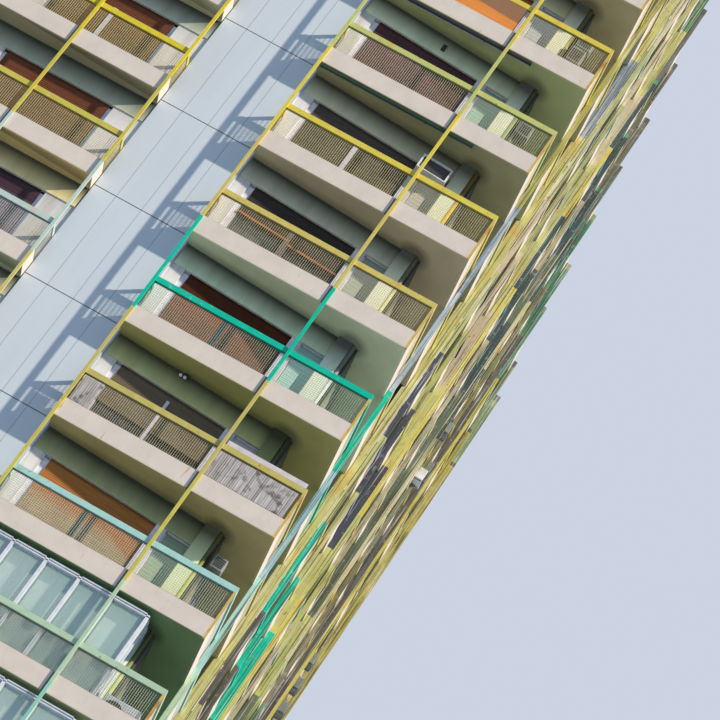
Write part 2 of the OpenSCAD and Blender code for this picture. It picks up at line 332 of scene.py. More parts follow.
# Painted shade towards the ceiling, and a painted highlight along the foot of the beam.
paint = coat(tree, paint, "#1E261A", add(tree, "MapRange", (height, 1.13, 1.37, 0.0, 0.93)))
paint = coat(tree, paint, "#D8DCC8", add(tree, "MapRange", (height, 1.119, 1.125, 0.25, 0.0)))
cover(tree, paint, speckle(tree, 0.012), 0.25, 0.001)
dress(beam_paint, "beams")

# Corner columns
# Square concrete columns, brushed nearly white in most flats and green in one, with the same
# painted shade towards the ceiling as the beams.
COLUMNS = [
    "#ECEFCF", "#E6EFCD", "#EEEFCB", "#E8EFD4", "#ECEFC6", "#ECEFCF", "#E4EFCD", "#EEEFC9",
    "#EAEFD3", "#EEEFC9", "#EAEFD3", "#EAEFC2", "#E2EFCF", "#D9ECCF", "#E2EFC0", "#95A66F",
    "#E8EFDB", "#EAEFD4", "#E8EFCD", "#EAEFD3", "#ECEFCF", "#E8EFD1", "#ECEFC9", "#E6EFD3",
    "#ECEFCF", "#EAEFCD",
]
column_paint, tree = finish("Brushed masonry paint on column", 0.75)
x, y, z = place(tree)
brushed = speckle(tree, 0.1, (1, 1, 0.3), most=0.2)
paint = coat(tree, by_storey(tree, z, COLUMNS), "#A8A898", brushed, "MULTIPLY")
# Painted shade: the column darkens towards the ceiling.
shade = add(tree, "MapRange", (rise_of(tree, z), 0.95, 1.3, 1.0, 0.12))
cover(tree, coat(tree, paint, shade, 1.0, "MULTIPLY"), speckle(tree, 0.012), 0.25, 0.001)
dress(column_paint, "corner_columns")

# Blind strips
# Fibre cement sheets, pale blue grey, four to a width, with a dark open joint at each storey
# and a thin one between sheets, and the blind shafts of the sides in the same sheets, painted
# darker there as painted shade.
# The joints are 5 mm wide at this scale and drawn about twice as broad, so that they show.
SHEET_WIDTH = 0.3085
SHEETS_FROM = 1.85
sheets, tree = finish("Fibre cement sheets", 0.7)
x, y, z = place(tree)
level_joint = add(tree, "Math", (rise_of(tree, z), 0.077, 0.006), operation="COMPARE")
across = add(tree, "Math", (x,), operation="ABSOLUTE")
across = add(tree, "Math", (across, SHEETS_FROM), operation="SUBTRACT")
across = add(tree, "Math", (across, SHEET_WIDTH), operation="MODULO")
upright = add(tree, "Math", (across, SHEET_WIDTH - 0.004, 0.004), operation="COMPARE")
joint = where_any(tree, level_joint, where_all(tree, upright, 0.45))
dirt = speckle(tree, 0.3, (1, 1, 0.15), 6.0, 0.45, 0.8, 0.35)
blue = coat(tree, "#C2CED7", "#ABB6BF", dirt)
# Painted shade: the sheets of the side shafts are painted darker.
blue = coat(tree, blue, "#A6AEB8", add(tree, "MapRange", (along_side(tree, x, y), 1.0, 1.6)))
blue = coat(tree, blue, "#4E5459", joint)
proud = add(tree, "Math", (1.0, joint), operation="SUBTRACT")
cover(tree, blue, proud, 0.6, 0.006)
dress(sheets, "strip_panels", "side_shafts")

# Fascias
# Precast panels, pinkish white, with faint rain marks, rust where a fixing weeps, and a grimy
# arris at the foot. Their undersides are brushed over with the ceiling paint.
fascia, tree = finish("Precast fascia panels", 0.8)
x, y, z = place(tree)
height = rise_of(tree, z)
marks = add(tree, "Math", (
    speckle(tree, 0.22, detail=7.0, most=0.16),
    speckle(tree, 0.06, (1, 1, 0.35), 4.0, 0.5, 0.85, 0.1),
), operation="ADD")
grime = where_any(
    tree,
    marks,
    add(tree, "MapRange", (height, 0.016, 0.006, 0.0, 0.55)),
    add(tree, "MapRange", (height, 0.236, 0.243, 0.0, 0.3)),
)
pink = coat(tree, "#D5CCC1", "#8F857B", grime)
pink = coat(tree, pink, "#B5713F", speckle(tree, 0.09, (1, 1, 0.22), 3.0, 0.71, 0.76, 0.6))
flat_below = add(tree, "Math", (z, STOREY / 2), operation="SUBTRACT")
under = flat_paint(tree, x, flat_below, CORNER_CEILINGS, CENTRAL_CEILINGS)
underside = add(tree, "Math", (height, 0.003), operation="LESS_THAN")
cover(tree, coat(tree, pink, under, underside), speckle(tree, 0.01), 0.2, 0.001)
dress(fascia, "front_fascias", "side_fascias")


def mottled(name, roughness, pale, dark, size, stretch=(1, 1, 1), bumps=None, **sockets):
    """A material of two tones in patches; bumps are a size, a strength and a depth."""
    made, tree = finish(name, roughness, **sockets)
    colour = coat(tree, pale, dark, speckle(tree, size, stretch))
    if bumps:
        cover(tree, colour, speckle(tree, bumps[0]), *bumps[1:])
    else:
        cover(tree, colour)
    return made


joints = mottled("Lead grey joint strip", 0.6, "#66636A", "#7E7A7E", 0.05, (1, 1, 0.2))
dress(joints, "fascia_joints")

# Handrails, posts and corner bars
# Steel sections under brush paint. Each flat has its own: old yellow mostly, one flat bright
# teal, others pale teal, slate, cream or green. The paint is worn thin and spotted with rust.
STRIP = 1.21
SIDE_GROUPS = 5
SIDE_LENGTH = SIDE_GROUPS * GROUP + (SIDE_GROUPS - 1) * STRIP
CORNER_RAILS = [
    "#C9C07A", "#B9C4A0", "#C5BB66", "#8FB7B0", "#CFC68A", "#C9BE62", "#7E97A8", "#CCC58C",
    "#C4BC5E", "#A7C3A4", "#C9C27A", "#9FBFC4", "#8CC7B8", "#AECBAE", "#A4D2CB", "#BDB467",
    "#00BA9C", "#CABC66", "#D6C850", "#BDC476", "#D8C650", "#C6BB62", "#C9C07A", "#A9C2A6",
    "#CFC68A", "#C4BC5E",
]
CENTRAL_RAILS = [
    "#CCC58C", "#C4BC5E", "#9FBFC4", "#C9C27A", "#B7C39A", "#8FA5AE", "#CFC68A", "#C9BE62",
    "#A9C2A6", "#C9C07A", "#C5BB66", "#8FB7B0", "#C8C36E", "#B4BFB8", "#C9C27A", "#C6BE78",
    "#B9CFC8", "#C5BC52", "#D6C634", "#C6BC60", "#CCC47A", "#C4BB66", "#C9C27A", "#CCC58C",
    "#8FB7B0", "#C5BB66",
]
SIDE_RAILS = [
    (0.0, "#CFCA84"), (0.22, "#D8D4A0"), (0.40, "#C5C078"), (0.52, "#D9CFB8"), (0.62, "#D6C650"),
    (0.70, "#B5C8B8"), (0.77, "#8C93AE"), (0.83, "#A9CBB4"), (0.88, "#D8C8B0"), (0.93, "#7FB8B0"),
    (0.97, "#3F4660"),
]
SIDE_STRIPES = [
    (0.0, "#B7B66B"), (0.11, "#C0C07C"), (0.19, "#ABB172"), (0.25, "#A7AD6F"), (0.30, "#BABD74"),
    (0.40, "#C6BA55"), (0.46, "#A39E85"), (0.54, "#445A51"), (0.61, "#BAB68E"), (0.69, "#72725C"),
    (0.76, "#464D5A"), (0.82, "#BAB253"), (0.89, "#949163"), (0.94, "#9F9A55"),
]
ODD_STRIPES = [
    "#BABF6B", "#CDCFB2", "#788FA1", "#C2BE72", "#373F48", "#B3B25E", "#65896F", "#C8BC9B",
]
HIGH_STRIPES = ["#3F7E5C", "#343F52", "#7F8F68", "#33424C", "#4F9270", "#5A5F60"]
TEAL_STOREY = 16
# storey and paint of the posts that don't match their flat's rail
FRONT_POSTS = [(15, "#C2BC5C")]
SIDE_POSTS = [
    (22, "#A9A55A"), (21, "#A9A656"), (20, "#A8A862"), (19, "#8298AE"), (18, "#A9BCC9"),
    (16, "#8FB8C4"),
]


def side_stripe(tree, along, z, chance):
    """The paint of a post's length on the side, where each balcony's differs from the next."""
    share = add(tree, "Math", (along, SIDE_LENGTH), operation="DIVIDE")
    stripe = steps(tree, share, SIDE_STRIPES)
    for turns, colours, where in (
        (7.0, ODD_STRIPES, add(tree, "Math", (chance, 0.78), operation="GREATER_THAN")),
        (5.0, HIGH_STRIPES, where_all(
            tree,
            add(tree, "Math", (along, 6.0), operation="GREATER_THAN"),
            add(tree, "Math", (z, 36.7), operation="GREATER_THAN"),
        )),
    ):
        draw = add(tree, "Math", (where_all(tree, chance, turns),), operation="FRACT")
        stripe = coat(tree, stripe, steps(tree, draw, colours), where)
    return stripe


def rail_colour(tree, lift=0.0, own=(), streaked=0.0):
    """The rail paint of a point's flat; lift moves the change of colour up, own has exceptions."""
    x, y, z = place(tree)
    height = add(tree, "Math", (z, lift), operation="SUBTRACT")
    along = along_side(tree, x, y)
    flat = add(tree, "Math", (along, GROUP + STRIP), operation="DIVIDE")
    flat = add(tree, "Math", (flat,), operation="FLOOR")
    level = add(tree, "Math", (height, LOWEST), operation="SUBTRACT")
    level = add(tree, "Math", (level, STOREY), operation="DIVIDE")
    storey = add(tree, "Math", (level,), operation="FLOOR")
    wing = add(tree, "Math", (x,), operation="SIGN")
    key = add(tree, "CombineXYZ", (flat, storey, wing))
    chance = add(tree, "TexWhiteNoise", {"Vector": key}, noise_dimensions="3D")
    colour = steps(tree, chance, SIDE_RAILS)
    if streaked:
        colour = coat(tree, colour, side_stripe(tree, along, z, chance), streaked)
    teal = where_all(
        tree,
        add(tree, "Math", (flat, 1.0, 0.1), operation="COMPARE"),
        add(tree, "Math", (storey, TEAL_STOREY, 0.1), operation="COMPARE"),
    )
    colour = coat(tree, colour, CORNER_RAILS[TEAL_STOREY], teal)
    wide = add(tree, "Math", (x,), operation="ABSOLUTE")
    near = add(tree, "Math", (along, 1.6 if streaked else GROUP + 0.2), operation="LESS_THAN")
    at_corner = where_all(
        tree, add(tree, "Math", (wide, STRIP_MIDDLE), operation="GREATER_THAN"), near
    )
    colour = coat(tree, colour, by_storey(tree, height, CORNER_RAILS), at_corner)
    in_front = add(tree, "Math", (along, 1.0), operation="LESS_THAN")
    middle = where_all(tree, in_middle(tree, x), in_front)
    colour = coat(tree, colour, by_storey(tree, height, CENTRAL_RAILS), middle)
    for k, code in own:
        here = add(tree, "Math", (level, k - 0.45, 0.56), operation="COMPARE")
        colour = coat(tree, colour, code, where_all(tree, at_corner, here))
    return colour


def worn_paint(name, lift=0.0, own=(), streaked=0.0):
    """Brush paint on steel, in the flat's colour, yellowed, patched and rusting in spots."""
    made, tree = finish(name, 0.5, Specular_IOR_Level=0.25)
    colour = rail_colour(tree, lift, own, streaked)
    if streaked:
        # On the side posts thin upright runs are painted dark, a painted shade, and others pale.
        runs = speckle(tree, 0.016, (1, 1, 0.015), 3.0, 0.0, 1.0)
        colour = coat(tree, colour, "#3F3A2C", add(tree, "MapRange", (runs, 0.55, 0.6, 0.0, 0.75)))
        colour = coat(tree, colour, "#E9E5DA", add(tree, "MapRange", (runs, 0.4, 0.34, 0.0, 0.5)))
    red = add(tree, "SeparateColor", (colour,))
    warm = add(tree, "Math", (red, 0.45), operation="GREATER_THAN")
    yellowed = where_all(tree, warm, speckle(tree, 0.22, detail=5.0, low=0.58, high=0.72, most=0.5))
    colour = coat(tree, colour, "#D8A03C", yellowed)
    colour = coat(tree, colour, "#C4C0B4", speckle(tree, 0.08, detail=5.0, most=0.25), "MULTIPLY")
    patch = speckle(tree, 0.07, detail=6.0, low=0.6, high=0.72, most=0.25)
    colour = coat(tree, colour, "#C8CFC8", patch)
    rust = speckle(tree, 0.045, detail=3.0, low=0.67, high=0.73, most=0.75)
    colour = coat(tree, colour, "#9A5F38", rust)
    cover(tree, colour, speckle(tree, 0.08, detail=5.0), 0.2, 0.001)
    return made


POST_LIFT = 0.125
rail_paint = worn_paint("Brush painted steel rail")
dress(rail_paint, "front_handrails", "side_handrails")
dress(worn_paint("Brush painted steel post", POST_LIFT, FRONT_POSTS), "front_posts")
side_post_paint = worn_paint("Brush painted steel side post", POST_LIFT, SIDE_POSTS, 0.9)
dress(side_post_paint, "side_posts", "side_end_posts")

bar_rust, tree = finish("Rusting steel bar", 0.6)
worn = coat(tree, "#C6AC5E", "#B4763E", speckle(tree, 0.06, (1, 1, 0.4), low=0.5, high=0.68))
cover(tree, worn, speckle(tree, 0.01), 0.3, 0.001)
dress(bar_rust, "corner_bars")

# Railing mesh
# Welded wire in a thin frame, 25 mm between wires at this scale, sun bleached and tinted by the
# rail's paint; the frame is painted dark, rust at its foot and painted shade under the rail at its
# head. The upright wires are drawn about three times and the level ones nearly twice as thick as
# true, so that they show.
CENTRAL_END = 1.87
STRIP_END = CENTRAL_END + STRIP
FASCIA = 0.245
RAIL_FOOT = LOWEST + FASCIA
RAIL_HEAD = LOWEST + 0.622
MESH_LINE = 0.018
RETURN_LINES = (CENTRAL_END + 0.005, STRIP_END - 0.005)
RETURN_BACK = 0.222
WIRE = 0.0021
THIN_WIRE = 0.0013
PITCH = 0.0245
FRAME = 0.01


def side(lx, ly):
    """A point in plan: lx out of the right side's fascia face, ly along it from the corner."""
    return Vector((
        HALF_W + lx * math.cos(SPLAY) - ly * math.sin(SPLAY),
        lx * math.sin(SPLAY) + ly * math.cos(SPLAY) - MID_Y,
        0.0,
    ))


def front(x, y):
    """A point in plan: x from the middle, y behind the front fascia's face."""
    return Vector((x, y - MID_Y, 0.0))


def up(z):
    """A step straight up."""
    return Vector((0.0, 0.0, z))


def turned(run):
    """The turn in plan that takes the x axis to a run."""
    return Matrix.Rotation(math.atan2(run.y, run.x), 4, "Z")


def faces_of(made):
    """The faces of a shape that an operator has just made."""
    return {f for v in made["verts"] for f in v.link_faces}


def bar(bm, a, b, wide, deep, low, high, skin=0):
    """A box from a to b in plan, longer by wide, deep across, from low to high."""
    run = b - a
    size = Matrix.Diagonal((run.length + wide, deep, high - low, 1.0))
    middle = Matrix.Translation((a + b) / 2 + up((low + high) / 2))
    made = bmesh.ops.create_cube(bm, size=1.0, matrix=middle @ turned(run) @ size)
    for f in faces_of(made):
        f.material_index = skin
    return made["verts"]


def rod(bm, centre, turn, radius, length, segments=4, closed=False, taper=1.0):
    """A round bar about its own middle."""
    at = Matrix.Translation(centre) @ turn
    return bmesh.ops.create_cone(bm, segments=segments, cap_ends=closed, radius1=radius,
                                 radius2=radius * taper, depth=length, matrix=at)


def wires(bm, a, b, low, high):
    """A panel of wires from a to b in plan, in its frame; skins are wire 0 and frame 1."""
    run = b - a
    turn = turned(run)
    lying = turn @ Matrix.Rotation(math.pi / 2, 4, "Y")
    count = round(run.length / PITCH)
    for i in range(1, count):
        rod(bm, a + run * i / count + up((low + high) / 2), turn, WIRE, high - low)
    rows = round((high - low) / PITCH)
    for i in range(1, rows):
        rod(bm, (a + b) / 2 + up(low + (high - low) * i / rows), lying, THIN_WIRE, run.length)
    for end in (a, b):
        bar(bm, end, end + run.normalized() * 0.001, FRAME - 0.001, FRAME, low, high, 1)
    bar(bm, a, b, 0.0, FRAME, low, low + FRAME, 1)
    bar(bm, a, b, 0.0, FRAME, high - FRAME - 0.002, high, 1)


def piece(name, bm, materials, stacked=True, mirrored=True):
    """Makes the finished object, stacked over the storeys and mirrored to the left half."""
    mesh = bpy.data.meshes.new(name)
    bm.to_mesh(mesh)
    bm.free()
    made = bpy.data.objects.new(name, mesh)
    bpy.context.scene.collection.objects.link(made)
    for material in materials:
        mesh.materials.append(material)
    if stacked:
        stack = made.modifiers.new("Storeys", "ARRAY")
        stack.use_relative_offset = False
        stack.use_constant_offset = True
        stack.constant_offset_displace = (0, 0, STOREY)
        stack.count = STOREYS
    if mirrored:
        made.modifiers.new("Left half", "MIRROR").use_mirror_merge = False
    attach(made, "root")
    return made


def wire_paint(name, grime, amount):
    """The rail's own paint under a second colour: bleaching on the wire, rust and painted shade on
    the frame.
    """
    made, tree = finish(name, 0.55)
    colour = coat(tree, rail_colour(tree), grime, amount)
    cover(tree, coat(tree, colour, "#8A8478", speckle(tree, 0.2, most=0.3), "MULTIPLY"))
    return made


# The frame's dark coat is rust at its foot and painted shade under the rail at its head.
mesh_paints = [wire_paint("Sun bleached painted wire", "#A09C8E", 0.66),
               wire_paint("Rusting mesh frame with painted shade", "#3E3026", 0.7)]

bm = bmesh.new()
wires(bm, front(0.0, MESH_LINE), front(CENTRAL_END - 0.02, MESH_LINE), RAIL_FOOT, RAIL_HEAD)
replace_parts(piece("central_wire_mesh", bm, mesh_paints), "front_mesh")

bm = bmesh.new()
corner_end = side(-0.03, MESH_LINE / math.cos(SPLAY) + 0.03 * math.tan(SPLAY))
wires(bm, front(STRIP_END + 0.02, MESH_LINE), corner_end, RAIL_FOOT, RAIL_HEAD)
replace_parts(piece("corner_wire_mesh", bm, mesh_paints), "front_mesh")

bm = bmesh.new()
for x in RETURN_LINES:
    wires(bm, front(x, 0.04), front(x, RETURN_BACK), RAIL_FOOT, RAIL_HEAD)
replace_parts(piece("return_wire_mesh", bm, mesh_paints), "return_mesh")

for half in (False, True):
    bm = bmesh.new()
    for g in range(SIDE_GROUPS):
        start = g * (GROUP + STRIP)
        wires(bm, side(-MESH_LINE, start + (0.06 if g == 0 else 0.008)),
              side(-MESH_LINE, start + GROUP - 0.04), RAIL_FOOT, RAIL_HEAD)
    if half:
        bmesh.ops.scale(bm, vec=(-1, 1, 1), verts=bm.verts)
        bmesh.ops.reverse_faces(bm, faces=bm.faces)
    name = "left_side_wire_mesh" if half else "right_side_wire_mesh"
    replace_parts(piece(name, bm, mesh_paints, mirrored=False), "side_mesh")

# Return rails
# A flat steel rail, welded to the end post, closes each balcony beside a strip, over its narrow
# mesh. It has the same brush paint as the rail of its flat.
bm = bmesh.new()
for x in RETURN_LINES:
    bar(bm, front(x, 0.03), front(x, RETURN_BACK), 0.0, 0.014, RAIL_HEAD, LOWEST + 0.668)
piece("return_rails", bm, [rail_paint])

# Fascia returns
# The end of each balcony beside a strip has a narrow precast panel like the fascia's own, fixed
# to the end of the slab.
bm = bmesh.new()
for x in (CENTRAL_END + 0.0055, STRIP_END - 0.0055):
    bar(bm, front(x, 0.0245), front(x, 0.223), 0.0, 0.008, LOWEST + 0.0005, LOWEST + FASCIA)
piece("fascia_returns", bm, [fascia])

# Balcony doors and corner windows
# Painted steel frames with two sliding leaves in the broad openings and one light beside the
# corner column, with panes of drawn glass. The stile where the leaves meet is dark in some flats.
frame_paint = mottled("White gloss on steel window frame", 0.4, "#E2E2EC", "#C8CAD4", 0.05)
# The panes are tinted dark, a painted shade of the unlit rooms behind them.
pane = mottled("Drawn window glass", 0.05, "#3A474B", "#475358", 0.5, (1, 1, 1), (0.3, 0.05, 0.002),
               IOR=1.5, Alpha=0.4)

SLAB = 0.07
DOOR_TALL = 1.04
DOOR_FOOT = LOWEST + SLAB
DOOR_HEAD = DOOR_FOOT + DOOR_TALL
DOOR_WIDTH = 1.35
COLUMN_EDGE = 0.687
LIGHT_EDGE = COLUMN_EDGE + 0.285
DOOR_EDGE = LIGHT_EDGE + 0.083
CORNER_LIGHT = (side(-LIGHT_EDGE, WALL_LINE), side(-COLUMN_EDGE, WALL_LINE))
CORNER_DOOR = (side(-DOOR_EDGE - DOOR_WIDTH, WALL_LINE), side(-DOOR_EDGE, WALL_LINE))
CENTRAL_DOOR = (front(0.173, FRONT_DEPTH), front(0.173 + DOOR_WIDTH, FRONT_DEPTH))
CORNER_JAMBS = (0.067, 0.038)
CENTRAL_JAMBS = (0.04, 0.05)
GLASS_LINE = 0.055
RIM = 0.03
RIM_DEEP = 0.05
LEAF = 0.035
LEAF_DEEP = 0.014


def floor_of(k):
    """The height of a storey's fascia foot."""
    return LOWEST + (k - 1) * STOREY


def directions(a, b):
    """The way along a line in plan and the way back from it."""
    run = (b - a).normalized()
    return run, Vector((-run.y, run.x, 0.0))


def back_by(points, depth):
    """Two points in plan moved back from the line through them."""
    _, back = directions(*points)
    return [p + back * depth for p in points]


def between(points, start, stop):
    """The part of a line in plan from start along it to stop before its end."""
    run, _ = directions(*points)
    return points[0] + run * start, points[1] - run * stop


def window(bm, points, low, high, leaves, jambs=(RIM, RIM)):
    """A frame between two points in plan, its leaves and panes; skins are frame 0 and glass 1."""
    a, b = points
    run, back = directions(a, b)
    for end, way, wide in ((a, 1, jambs[0]), (b, -1, jambs[1])):
        bar(bm, end, end + run * way * wide, 0.0, RIM_DEEP, low, high)
    bar(bm, a, b, 0.0, RIM_DEEP, high - RIM, high)
    bar(bm, a, b, 0.0, RIM_DEEP, low, low + RIM)
    step = (b - a) / leaves
    for i in range(leaves):
        lead = back * (0.008 if i % 2 else -0.008)
        start, stop = a + step * i + lead, a + step * (i + 1) + lead
        for end, way in ((start, 1), (stop, -1)):
            bar(bm, end, end + run * way * LEAF, 0.0, LEAF_DEEP, low + RIM, high - RIM)
        bar(bm, start, stop, 0.0, LEAF_DEEP, low + RIM, low + 0.07)
        bar(bm, start, stop, 0.0, LEAF_DEEP, high - 0.065, high - RIM)
        bar(bm, start, stop, -0.05, 0.004, low + 0.06, high - 0.06, 1)


bm = bmesh.new()
window(bm, back_by(CORNER_DOOR, GLASS_LINE), DOOR_FOOT, DOOR_HEAD, 2, CORNER_JAMBS)
window(bm, back_by(CORNER_LIGHT, GLASS_LINE), DOOR_FOOT, DOOR_HEAD, 1, (0.02, 0.015))
bar(bm, *back_by(between(CORNER_DOOR, 1.314, 0.0), 0.012), 0.0, 0.03, DOOR_FOOT, DOOR_HEAD)
piece("corner_windows", bm, [frame_paint, pane])

bm = bmesh.new()
window(bm, back_by(CENTRAL_DOOR, GLASS_LINE), DOOR_FOOT, DOOR_HEAD, 2, CENTRAL_JAMBS)
piece("central_windows", bm, [frame_paint, pane])

MEETING_STILES = [
    "#D0D4DC", "#C8CCD4", "#D0D4DC", "#3A4038", "#D0D4DC", "#D0D4DC", "#2E3440", "#C8CCD4",
    "#D0D4DC", "#D0D4DC", "#3A4038", "#C8CCD4", "#D0D4DC", "#D0D4DC", "#2E4034", "#D4D8E0",
    "#252C40", "#6A6058", "#D4D8E0", "#4A3034", "#8A5A2C", "#D0D4DC", "#2E3440", "#D0D4DC",
    "#D0D4DC", "#3A4038",
]
stile_paint, tree = finish("Gloss paint on meeting stile", 0.4)
x, y, z = place(tree)
colour = by_storey(tree, z, MEETING_STILES)
cover(tree, coat(tree, colour, "#B0AEA8", speckle(tree, 0.04, most=0.3), "MULTIPLY"))
bm = bmesh.new()
for points, without in ((CORNER_DOOR, ()), (CENTRAL_DOOR, (18, 17))):
    middle = (points[0] + points[1]) / 2
    run, _ = directions(*points)
    for k in set(range(1, STOREYS + 1)) - set(without):
        reach, top = (0.017, 1.02) if k == 16 else (0.026, 0.9)
        bar(bm, *back_by((middle - run * reach, middle + run * reach), 0.012), 0.0, 0.006,
            floor_of(k) + SLAB, floor_of(k) + top)
piece("meeting_stiles", bm, [stile_paint], stacked=False)

# Curtains and small blinds
# Pale cotton behind some panes, and slatted or cloth blinds of each flat's own colour outside
# the narrow corner windows. The slats are 25 mm high at this scale and drawn twice as high, so
# that they show.
BLIND_SLAT = 0.05


def hanging(name, pale, dark, fold, strength, depth):
    """Cloth that hangs in folds of one width."""
    made, tree = finish(name, 0.9)
    folds = speckle(tree, fold, (1, 1, 0.02), 2.0)
    cover(tree, coat(tree, pale, dark, folds), folds, strength, depth)
    return made


curtain_cloth = hanging("Pale cotton curtain", "#CFD2CC", "#A0A49C", 0.02, 0.8, 0.01)
bm = bmesh.new()
for points, start, stop in ((CORNER_DOOR, 0.05, 0.9), (CENTRAL_DOOR, 0.03, 0.8)):
    bar(bm, *back_by(between(points, start, stop), 0.098), 0.0, 0.002, DOOR_FOOT, DOOR_HEAD)
piece("curtains", bm, [curtain_cloth])

NARROW_BLINDS = [
    "#98A79C", "#A4ABA0", "#869088", "#AFB8AC", "#959B90", "#A2AFA8", "#829084", "#AAAFA4",
    "#93A194", "#A6ABA8", "#8D9488", "#AFB4A8", "#A2AFA8", "#A6BCB2", "#A2B89A", "#EAE5E4",
    "#B5D9D0", "#B1BCAC", "#C0BEB2", "#AACFB8", "#BEC8CA", "#98A79C", "#AFB4A8", "#869088",
    "#A2AFA8", "#93A194",
]
blind_slats, tree = finish("Slatted outside blind", 0.5)
x, y, z = place(tree)
slat = add(tree, "Math", (z, BLIND_SLAT), operation="MODULO")
slat = add(tree, "Math", (slat, BLIND_SLAT / 2, 0.006), operation="COMPARE")
colour = coat(tree, by_storey(tree, z, NARROW_BLINDS), "#3C4644", where_all(tree, slat, 0.2))
# Painted shade: the blinds darken towards the top.
shade = add(tree, "MapRange", (rise_of(tree, z), 0.9, 1.1, 1.0, 0.45))
cover(tree, coat(tree, colour, shade, 1.0, "MULTIPLY"), slat, 0.5, 0.004)
bm = bmesh.new()
low, high = DOOR_FOOT + 0.02, DOOR_HEAD - 0.02
bar(bm, *back_by(between(CORNER_LIGHT, 0.02, 0.012), 0.022), 0.0, 0.004, low, high)
piece("narrow_blinds", bm, [blind_slats])

# Roller shutters
# Wooden slats on tapes, stained or painted, let down a different way in each flat. Each wood
# has a sunlit and a shaded colour: below the shade line of the balcony above it is painted as lit,
# and above that line, in a diagonal painted shadow towards the corner and under the beam it is
# painted in shade. A slat is 25 mm high at this scale and stands 4 mm over the next.
SLAT = 0.025
SLAT_PROUD = 0.004
# shaded, sunlit and dusty
SHUTTER_WOODS = [
    ("#413B3A", "#42342A", "#42342A"), ("#552C1E", "#9A5C42", "#8E5C48"),
    ("#B67840", "#BE783C", "#B8A480"), ("#9A9C9C", "#C2C6CC", "#C2C6CC"),
    ("#746856", "#7A7260", "#7A7260"), ("#A0642A", "#E08A38", "#E08A38"),
    ("#5A3E42", "#705058", "#6A4E54"), ("#5A514C", "#565448", "#5E5A4C"),
    ("#4E3C44", "#7E7888", "#86808E"), ("#764834", "#8A6C48", "#7E6848"),
    ("#A86C40", "#B87A4C", "#B87A4C"),
]
shutter_woods = []
for shaded, sunlit, dusty in SHUTTER_WOODS:
    wood, tree = finish("Stained wooden slats " + shaded[1:], 0.7, Specular_IOR_Level=0.1)
    x, y, z = place(tree)
    height = rise_of(tree, z)
    # Painted light: the sunlit colour, turning dusty towards the foot.
    colour = coat(tree, sunlit, dusty, add(tree, "MapRange", (height, 0.78, 0.6)))
    wide = add(tree, "Math", (x,), operation="ABSOLUTE")
    # Painted shadow: above the shade line, which drops diagonally towards the corner, the wood is
    # shaded.
    cast_shadow_lift = add(tree, "MapRange", (wide, 3.9, 4.56, 0.0, 0.34))
    shade_line = add(tree, "Math", (height, cast_shadow_lift), operation="ADD")
    colour = coat(tree, shaded, colour, add(tree, "MapRange", (shade_line, 0.91, 0.85)))
    # Painted shade under the beam.
    under_beam = add(tree, "MapRange", (height, 1.06, 1.105, 1.0, 0.35))
    colour = coat(tree, colour, under_beam, 1.0, "MULTIPLY")
    grain = speckle(tree, 0.012, (0.05, 0.05, 1), most=0.4)
    cover(tree, coat(tree, colour, "#8F8378", grain, "MULTIPLY"))
    shutter_woods.append(wood)


def shutter(bm, points, head, drop, skin):
    """A slatted curtain between two points in plan, let down by drop from head."""
    a, b = points
    run, back = directions(a, b)
    rows = max(2, 2 * round(drop / SLAT))
    middle = Matrix.Translation((a + b) / 2 + up(head - drop / 2))
    turn = turned(run) @ Matrix.Rotation(math.pi / 2, 4, "X")
    size = Matrix.Diagonal(((b - a).length, drop, 1.0, 1.0))
    made = bmesh.ops.create_grid(bm, x_segments=1, y_segments=rows, size=0.5,
                                 matrix=middle @ turn @ size)
    for v in made["verts"]:
        if round((v.co.z - head) / (drop / rows)) % 2:
            v.co -= back * SLAT_PROUD
    for f in faces_of(made):
        f.material_index = skin


# storey, share let down, wood
CORNER_SHUTTERS = [
    (1, 0.9, 0), (2, 0.5, 4), (3, 1.0, 0), (4, 0.3, 3), (5, 0.7, 2), (6, 1.0, 1), (7, 0.4, 0),
    (8, 0.9, 4), (9, 0.6, 2), (10, 1.0, 0), (11, 0.35, 4), (12, 0.8, 1), (13, 0.2, 3),
    (14, 0.15, 3), (15, 1.0, 2), (16, 0.5, 4), (17, 1.0, 1), (18, 0.4, 0), (19, 0.9, 7),
    (20, 1.0, 6), (21, 1.0, 5), (22, 0.6, 0), (23, 0.8, 4), (24, 1.0, 0), (25, 0.5, 1), (26, 0.9, 4),
]
CENTRAL_SHUTTERS = [
    (1, 0.5, 0), (2, 1.0, 4), (3, 0.4, 1), (4, 0.9, 0), (5, 0.3, 4), (6, 0.6, 0), (7, 1.0, 2),
    (8, 0.5, 3), (9, 1.0, 0), (10, 0.7, 4), (11, 0.3, 1), (12, 0.9, 0), (13, 0.5, 2),
    (14, 0.7, 0), (15, 0.4, 0), (16, 0.8, 1), (17, 1.0, 8), (18, 1.0, 9), (19, 1.0, 9),
    (20, 0.7, 4), (21, 0.5, 0), (22, 0.9, 1), (23, 0.5, 0), (24, 1.0, 4), (25, 0.8, 0), (26, 0.4, 1),
]
bm = bmesh.new()
for points, shutters in (
    (back_by(between(CORNER_DOOR, *CORNER_JAMBS), 0.02), CORNER_SHUTTERS),
    (back_by(between(CENTRAL_DOOR, *CENTRAL_JAMBS), 0.018), CENTRAL_SHUTTERS),
):
    for k, share, wood in shutters:
        shutter(bm, points, DOOR_HEAD + (k - 1) * STOREY, DOOR_TALL * share, wood)
for start, stop, foot in ((0.067, 0.66, 0.71), (0.70, 0.038, 0.665)):
    low = floor_of(18) + foot
    bar(bm, *back_by(between(CORNER_DOOR, start, stop), 0.014), 0.0, 0.014, low, low + 0.024, 10)
piece("roller_shutters", bm, shutter_woods, stacked=False)

